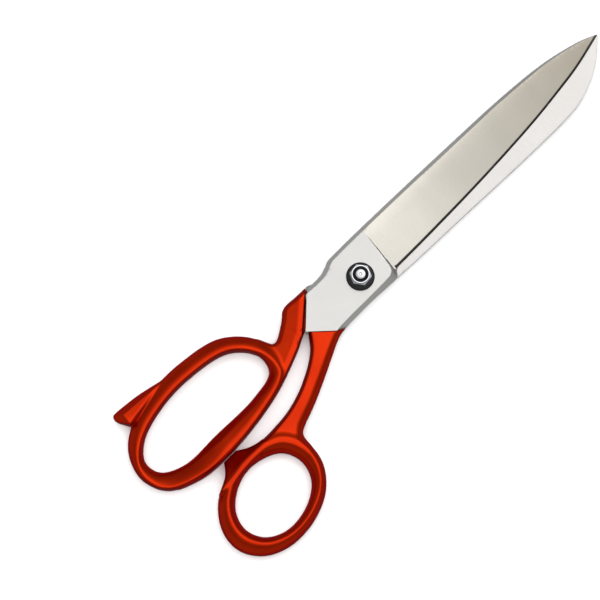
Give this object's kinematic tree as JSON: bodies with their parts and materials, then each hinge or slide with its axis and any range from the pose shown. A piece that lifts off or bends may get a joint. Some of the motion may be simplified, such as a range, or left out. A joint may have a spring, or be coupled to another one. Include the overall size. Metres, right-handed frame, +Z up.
{
  "type": "fabric shears",
  "caption": "Bent-handle fabric shears: two crossing forged steel blades, painted thumb and finger bows, and a lock-nut pivot.",
  "frame": {"origin": "on the pivot axis, at the bottom face of the pivot screw's head, which rests on the table", "axes": "+Y from the pivot to the blade tips, +X towards the thumb bow, +Z up along the pivot axis towards the lock nut"},
  "size_m": [0.0777, 0.2286, 0.0154],
  "materials": {
    "blade_steel": "ground and satin polished forged steel",
    "enamel": "semi-gloss metallic orange-red enamel on forged steel",
    "bright_steel": "bright zinc or nickel plated steel",
    "black_oxide": "black oxide on spring steel",
    "nylon": "black nylon"
  },
  "bodies": {
    "lower_half": {"lower_blade": "blade_steel", "finger_handle": "enamel", "pivot_screw": "bright_steel", "spring_washer": "black_oxide"},
    "upper_half": {"upper_blade": "blade_steel", "thumb_handle": "enamel"},
    "nut": {"lock_nut": "bright_steel", "nylon_insert": "nylon"}
  },
  "joints": [
    {"name": "blade_pivot", "type": "hinge", "parent": "lower_half", "child": "upper_half", "pos_m": [0, 0, 0.005], "axis": [0, 0, 1], "range_deg": [0, 100]},
    {"name": "tension_nut", "type": "hinge", "parent": "lower_half", "child": "nut", "pos_m": [0, 0, 0.0127], "axis": [0, 0, 1], "range_deg": [-30, 30]}
  ]
}
